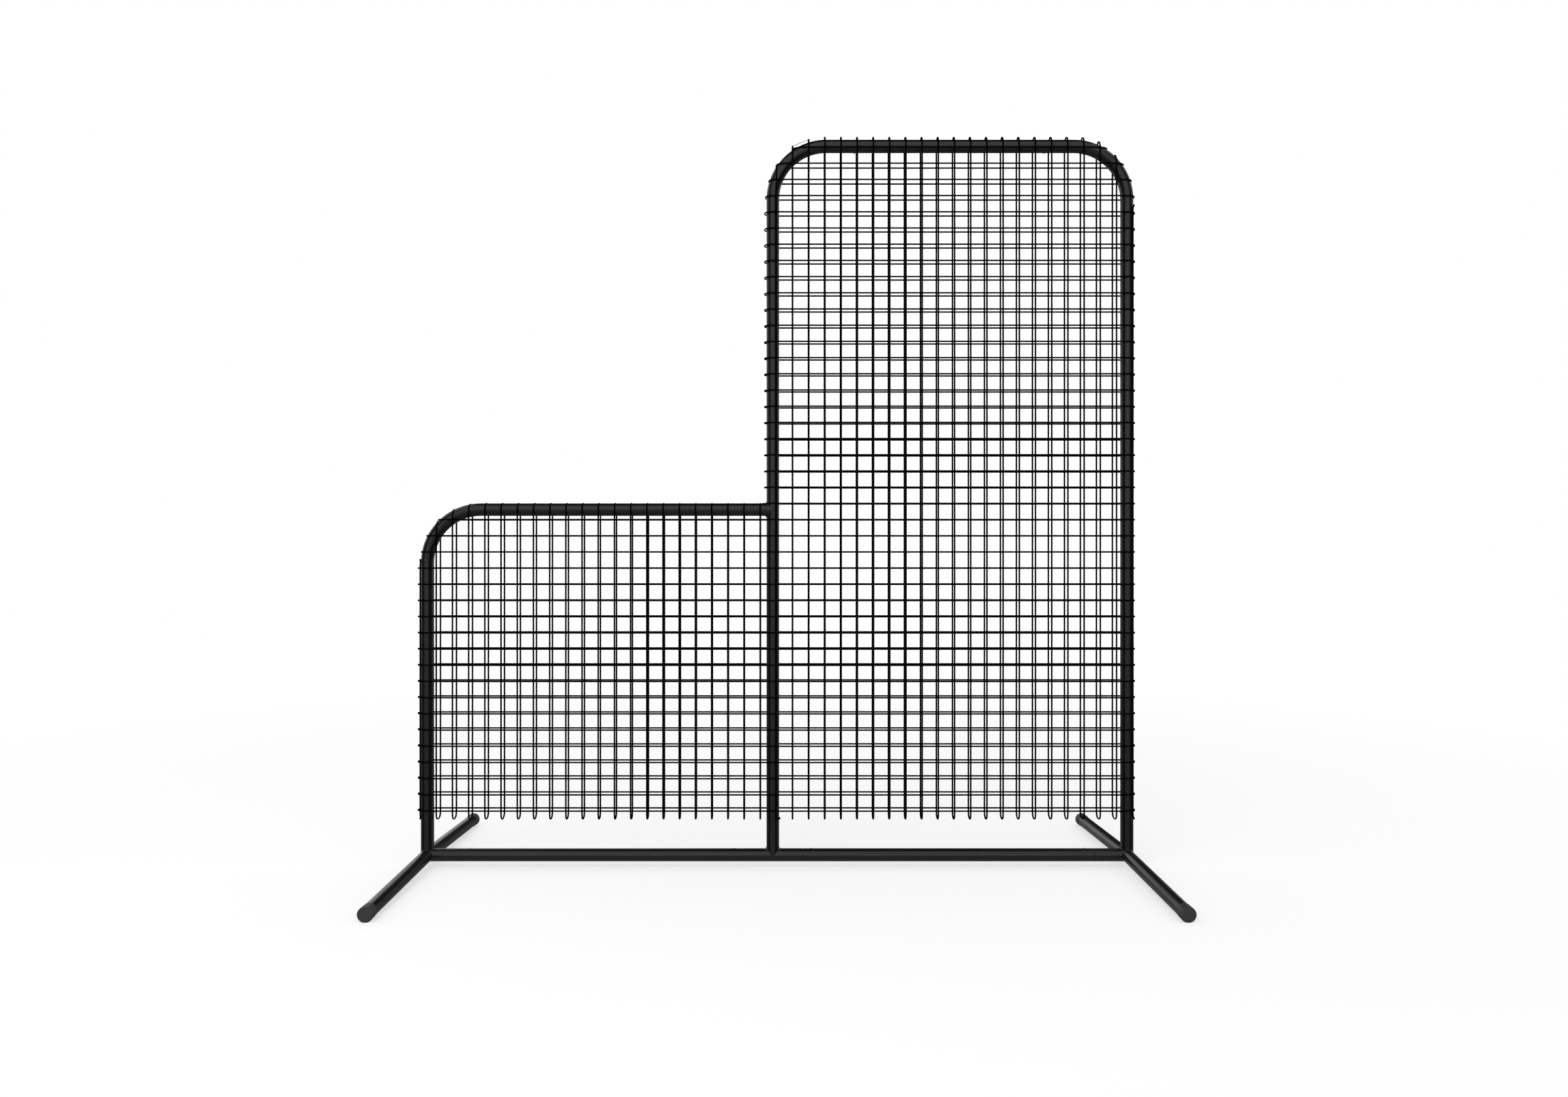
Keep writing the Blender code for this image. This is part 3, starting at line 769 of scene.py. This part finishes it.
def dress_frame():
    made = make_frame()
    for site, at, out, along in joint_sites():
        snap_button(site, at, out, along)
        v_spring(site, at, out, along)
        for node in SOCKETS[site]:
            combine(made[node], button_hole(f"{site}_{node}", at, out, along), "DIFFERENCE")
    for node, obj in made.items():
        piece(obj, "frame", COAT, node)
    for side in ("front", "back"):
        for x_name, x in (("left", LEFT_X), ("right", RIGHT_X)):
            make_leg(side, x_name, x)


# Net
#
# A strand's path is a list of places, each with the strand's thickness there.

def columns():
    """x of every column, from the left."""
    xs = [LEFT_X + FIRST_COLUMN + COLUMN_PITCH * k for k in range(COLUMN_COUNT)]
    return [xs[0] - LEFT_PULL] + xs[1:-1] + [xs[-1] + RIGHT_PULL]


def rows():
    """z of every row, from the bottom."""
    return [BASE_Z + FIRST_ROW + ROW_PITCH * k for k in range(ROW_COUNT)]


def wrap(past, slack):
    """How a strand turns round a tube's outer side, in a plane square to the net.

    past is how far the plane lies past the centre of the bend, or 0 along a straight tube.
    Gives y, the distance out from the centre's level and how far round it is, from the front
    layer to the back.
    """
    reach = NET_OFFSET + slack
    begin = asin(min((past - BEND_RADIUS) / reach, 1)) if past > BEND_RADIUS else 0.0
    points = []
    for step in range(WRAP_STEPS + 1):
        angle = begin + (pi - 2 * begin) * step / WRAP_STEPS
        out = BEND_RADIUS + reach * sin(angle)
        points.append((-NET_OFFSET * cos(angle), sqrt(out**2 - past**2), sin(angle)))
    return points


def column_top(x):
    """The bar a column hangs from: how far past a bend's centre it is, the bar's z, the slack."""
    if x < MIDDLE_X - COLUMN_PITCH / 2:
        pressed = STRAND_CLEARANCE + PRESSED_THICKNESS / 2 - (NET_OFFSET - TUBE_RADIUS)
        return max(LEFT_X + BEND_RADIUS - x, 0), SHORT_Z, pressed
    past = max(MIDDLE_X + BEND_RADIUS - x, x - RIGHT_X + BEND_RADIUS, 0)
    slack = TOP_SLACK + BEND_SLACK * past if past < STEEP * BEND_RADIUS else TIGHT_SLACK
    return past, TALL_Z, slack


def column_path(x, levels):
    """A closed loop: up the front, over the top, down the back and round the hem."""
    past, top_z, slack = column_top(x)
    pressed = COLUMN_THICKNESS - PRESSED_THICKNESS if top_z == SHORT_Z else 0.0
    if past > BEND_RADIUS:
        side_slack = LEFT_SLACK if top_z == SHORT_Z else RIGHT_SLACK
        front_y = wrap(past, side_slack)[0][0]
        levels = [z for z in levels if z < top_z - BEND_RADIUS]
        top = loop_end(x, front_y, levels[-1] + KNOT_LENGTH, KNOT_LENGTH - CROWN_RISE)
    else:
        over = wrap(past, slack)
        front_y = over[0][0]
        bend_z = top_z - BEND_RADIUS
        levels = [z for z in levels if z < bend_z + over[0][1] - KNOT_LENGTH]
        top = [
            (Vector((x, y, bend_z + out)), COLUMN_THICKNESS - pressed * round_it**2)
            for y, out, round_it in over
        ]
    up = knot_stations(levels)
    front = [(Vector((x, front_y, z)), COLUMN_THICKNESS) for z in up]
    back = [(Vector((x, -front_y, z)), COLUMN_THICKNESS) for z in reversed(up)]
    return front + top + back + loop_end(x, -front_y, up[0], HEM_DROP - KNOT_LENGTH)


def loop_end(x, y, z, drop):
    """A loop from depth y to -y that hangs below z, led round an upright that is in its way."""
    points = []
    for step in range(1, WRAP_STEPS):
        angle = pi * step / WRAP_STEPS
        deep = y * copysign(abs(cos(angle)) ** LOOP_SQUARENESS, cos(angle))
        down = drop * sin(angle) ** LOOP_SQUARENESS
        clear = sqrt(max((NET_OFFSET + TIGHT_SLACK) ** 2 - deep**2, 0))
        at = x
        for upright_x in (LEFT_X, MIDDLE_X, RIGHT_X):
            if abs(x - upright_x) < clear:
                at = upright_x + copysign(clear, x - upright_x)
        points.append((Vector((at, deep, z - down)), COLUMN_THICKNESS))
    return points


def knot_stations(places):
    """Stations before, on and after each knot."""
    return [place + step * KNOT_LENGTH for place in places for step in (-1, 0, 1)]


def row_end(z, upright_x, way_out, top_z, slack):
    """A row's turn round an upright or its bend, from the front to the back."""
    past = max(z - (top_z - BEND_RADIUS), 0)
    slack = max(slack * (1 - past / TIGHT_REACH), TIGHT_SLACK)
    centre = upright_x - way_out * BEND_RADIUS
    return [
        (Vector((centre + way_out * out, y, z)), ROW_THICKNESS) for y, out, _ in wrap(past, slack)
    ]


def row_over_tee(z):
    """The row level with the top of the short bar, which climbs over the bar by the tee."""
    thin = ROW_THICKNESS / 2
    points = []
    for step in range(WRAP_STEPS + 1):
        angle = pi * step / WRAP_STEPS
        y = -NET_OFFSET * cos(angle)
        over = TUBE_RADIUS + STRAND_CLEARANCE + thin / 2
        lift = max(sqrt(max(over**2 - y**2, 0)) - (z - SHORT_Z), 0)
        away = TEE_REACH * sin(angle) ** TEE_SQUARENESS
        place = Vector((MIDDLE_X - away, y, z + lift))
        points.append((place, ROW_THICKNESS - thin * sin(angle)))
    return points


def row_ends(k, z):
    """The turns of row k, numbered from the bottom, at its left and right end."""
    right = row_end(z, RIGHT_X, 1, TALL_Z, RIGHT_SLACK)
    if k < FULL_ROWS:
        left = row_end(z, LEFT_X, -1, SHORT_Z, LEFT_SLACK)
    elif k == FULL_ROWS:
        left = row_over_tee(z)
    else:
        left = row_end(z, MIDDLE_X, -1, TALL_Z, NOTCH_SLACK)
    return left, right


def row_run(places, y, z):
    return [(Vector((x, y, z)), ROW_THICKNESS) for x in places]


def row_layers(stations, z):
    """A row's points in the front layer and, in the opposite order, in the back one."""
    return row_run(stations, -NET_OFFSET, z), row_run(stations[::-1], NET_OFFSET, z)


def strand_tube(shape, uv, path, closed, square, knots):
    """Adds a strand to a mesh.

    square is the way square to the strand's plane. knots are where the strands that cross it
    lie, along the axis that isn't square to it.
    """
    count = len(path)
    axis = 2 if square is X else 0
    rings = []
    travelled = [0.0]
    for k, (place, thickness) in enumerate(path):
        before = path[k - 1][0] if closed or k else place
        after = path[(k + 1) % count][0] if closed or k < count - 1 else place
        along = (after - before).normalized()
        side = square.cross(along).normalized()
        nearest = min(abs(knot - place[axis]) for knot in knots)
        swell = 1 + KNOT_SWELL * max(1 - nearest / KNOT_LENGTH, 0)
        width = min(STRAND, 2 * thickness) / 2 * swell
        corners = []
        for corner in ring(Vector(), 1, along, side, STRAND_SIDES):
            deep = corner.dot(side)
            corners.append(place + width * (corner - deep * side) + deep * thickness / 2 * swell * side)
        rings.append([shape.verts.new(corner) for corner in corners])
        if k:
            travelled.append(travelled[-1] + (place - path[k - 1][0]).length)
    pairs = count if closed else count - 1
    travelled.append(travelled[-1] + (path[0][0] - path[-1][0]).length)
    for k in range(pairs):
        low, high = rings[k], rings[(k + 1) % count]
        for s in range(STRAND_SIDES):
            after = (s + 1) % STRAND_SIDES
            face = shape.faces.new((low[s], low[after], high[after], high[s]))
            places = ((s, k), (s + 1, k), (s + 1, k + 1), (s, k + 1))
            for loop, (round_it, station) in zip(face.loops, places):
                loop[uv].uv = (round_it / STRAND_SIDES, travelled[station] / TWINE_LAY)
    if not closed:
        shape.faces.new(rings[0][::-1])
        shape.faces.new(rings[-1])


def net_part(name, node, strands):
    """strands lists what strand_tube needs for each strand."""
    shape = bmesh.new()
    uv = shape.loops.layers.uv.new("strand")
    for strand in strands:
        strand_tube(shape, uv, *strand)
    piece(mesh_object(name, shape), "frame", TWINE, node, sharp=pi / 2)


def make_net():
    """The net's two parts meet behind and before the middle of the middle upright."""
    xs = columns()
    zs = rows()
    short = []
    tall = []
    for k, x in enumerate(xs):
        part, levels = (short, zs[:FULL_ROWS]) if k < SHORT_COLUMNS else (tall, zs)
        part.append((column_path(x, levels), True, X, levels))
    for k, z in enumerate(zs):
        left, right = row_ends(k, z)
        inside = [x for x in xs if left[0][0].x + KNOT_LENGTH < x < right[0][0].x - KNOT_LENGTH]
        to_right, from_right = row_layers(knot_stations([x for x in inside if x > MIDDLE_X]), z)
        if k >= FULL_ROWS:
            tall.append((to_right + right + from_right + left[::-1], True, Z, xs))
            continue
        from_left, to_left = row_layers(knot_stations([x for x in inside if x < MIDDLE_X]), z)
        seam_front, seam_back = row_layers([MIDDLE_X], z)
        path = seam_front + from_left[::-1] + left + to_left[::-1] + seam_back
        short.append((path, False, Z, xs))
        tall.append((seam_front + to_right + right + from_right + seam_back, False, Z, xs))
    loose = [column_path(x, zs) for x in xs[SHORT_COLUMNS + 1:SHORT_COLUMNS + 3]]
    tops = [max(path, key=lambda spot: spot[0].z)[0] for path in loose]
    tall.append(([(top, THREAD) for top in tops], False, Y, xs))
    net_part("net_short_side", "net_short_panel", short)
    net_part("net_tall_side", "net_tall_panel", tall)


# Stage

def make_camera():
    """A level camera straight in front, fitted to the photograph."""
    data = bpy.data.cameras.new("camera")
    focal_pixels = 1598
    image_width, image_height = 2296, 1607
    middle_x, middle_y = 1141.6, 805.4  # where the camera's axis meets the image
    eye_x, eye_distance, eye_rise = 0.0074, 3.271, 0.9146
    data.sensor_width = 36
    data.lens = data.sensor_width * focal_pixels / image_width
    data.shift_x = (image_width / 2 - middle_x) / image_width
    data.shift_y = (middle_y - image_height / 2) / image_width
    obj = bpy.data.objects.new("camera", data)
    obj.location = (eye_x, -eye_distance, BASE_Z + eye_rise)
    obj.rotation_euler = (pi / 2, 0, 0)
    bpy.context.scene.collection.objects.link(obj)
    bpy.context.scene.camera = obj


def soft_box(name, place, size, power, aim):
    """A lamp that lights but doesn't show in reflections."""
    data = bpy.data.lights.new(name, "AREA")
    data.shape = "RECTANGLE"
    data.size, data.size_y = size
    data.energy = power
    obj = bpy.data.objects.new(name, data)
    obj.location = place
    obj.rotation_mode = "QUATERNION"
    obj.rotation_quaternion = (Vector(aim) - Vector(place)).to_track_quat("-Z", "Y")
    obj.visible_glossy = False
    bpy.context.scene.collection.objects.link(obj)


def seen_directly(node):
    """1 for rays that show the background: straight from the camera, mirrored or through glass."""
    path = node("ShaderNodeLightPath")
    both = maths(node, "MAXIMUM", path.outputs["Is Camera Ray"], path.outputs["Is Glossy Ray"])
    return maths(node, "MAXIMUM", both, path.outputs["Is Transmission Ray"])


def make_world():
    world = bpy.data.worlds.new("studio")
    bpy.context.scene.world = world
    world.use_nodes = True
    tree = world.node_tree
    background = tree.nodes["Background"]
    background.inputs["Color"].default_value = (1, 1, 1, 1)
    node = node_maker(tree)
    strength = ramp_between(node, seen_directly(node), WORLD_LIGHT, 1.0)
    tree.links.new(strength, background.inputs["Strength"])


def flat_panel(name, corners):
    shape = bmesh.new()
    shape.faces.new([shape.verts.new(corner) for corner in corners])
    return mesh_object(name, shape)


def make_floor():
    """A white floor that takes the screen's shadow and fades into the white around it."""
    floor = flat_panel("floor", [(a * FLOOR_HALF, b * FLOOR_HALF, 0) for a, b in CORNER_SIGNS])
    made, node, _ = shader("floor", (FLOOR_SHADE, FLOOR_SHADE, FLOOR_SHADE), 0.9, specular=0.0)
    tree = made.node_tree
    place = node("ShaderNodeTexCoord").outputs["Object"]
    away = node("ShaderNodeVectorMath", {0: place}, operation="LENGTH")
    far = ramp_between(node, away.outputs["Value"], FLOOR_GLOW, 1.0, *FLOOR_FADE)
    seen = maths(node, "MULTIPLY", far, seen_directly(node))
    glow = node("ShaderNodeEmission", Color=(1, 1, 1, 1), Strength=1.0)
    mix = node(
        "ShaderNodeMixShader",
        {0: seen, 1: tree.nodes["Principled BSDF"].outputs[0], 2: glow.outputs[0]},
    )
    tree.links.new(mix.outputs[0], tree.nodes["Material Output"].inputs["Surface"])
    floor.data.materials.append(made)
    floor.visible_glossy = False


def flag(name, corners, shade=DARK_SHADE):
    """A dark panel that only reflections show, as a studio sets up to shape them."""
    panel = flat_panel(name, corners)
    panel.data.materials.append(shader(name, (shade, shade, shade), 0.9, specular=0.0)[0])
    panel.visible_camera = False
    panel.visible_diffuse = False
    panel.visible_shadow = False
    panel.visible_transmission = False


def bearing(degrees, height=0.0):
    """A point on a far circle round the screen, at an angle from the front towards the right."""
    turn = radians(degrees)
    return Vector((FAR * sin(turn), -FAR * cos(turn), height))


def flag_arc(name, start, end, low, high, shade=DARK_SHADE):
    """A flag between two bearings and two heights."""
    feet = [bearing(start, low), bearing(end, low)]
    flag(name, feet + [bearing(end, high), bearing(start, high)], shade)


def make_flags():
    """Dark panels that leave a wide light in front and one on either side at the back.

    The ring of panels below the horizon, and the one that closes it underneath, are dim like a
    floor.
    """
    flag_arc("flag_left", -92, -42, -FAR, FAR)
    flag_arc("flag_right", 32, 86, -FAR, FAR)
    flag_arc("flag_back", 150, 187, 0, 0.8 * FAR, BACK_SHADE)
    flag("flag_top", [(x, y, TOP_HEIGHT) for x, y in TOP_FLAG])
    for name, start, end, share in (
        ("front", -42, 32, 1),
        ("right", 86, 148, 1),
        ("back", 148, 187, 0.5),
        ("left", 187, 268, 1),
    ):
        flag_arc(f"flag_low_{name}", start, end, -FAR, 0, share * LOW_SHADE)
    under = [bearing(45 + 90 * k, -0.7 * FAR) * 1.5 for k in range(4)]
    flag("flag_under", under, LOW_SHADE)


def make_stage():
    scene = bpy.context.scene
    scene.view_settings.view_transform = "Standard"
    make_camera()
    make_world()
    make_floor()
    make_flags()
    soft_box("key_light", place=(-1.6, -3.6, 5.0), size=(3.0, 3.0), power=110, aim=(0, 0, 1))


make_stage()
dress_frame()
make_net()
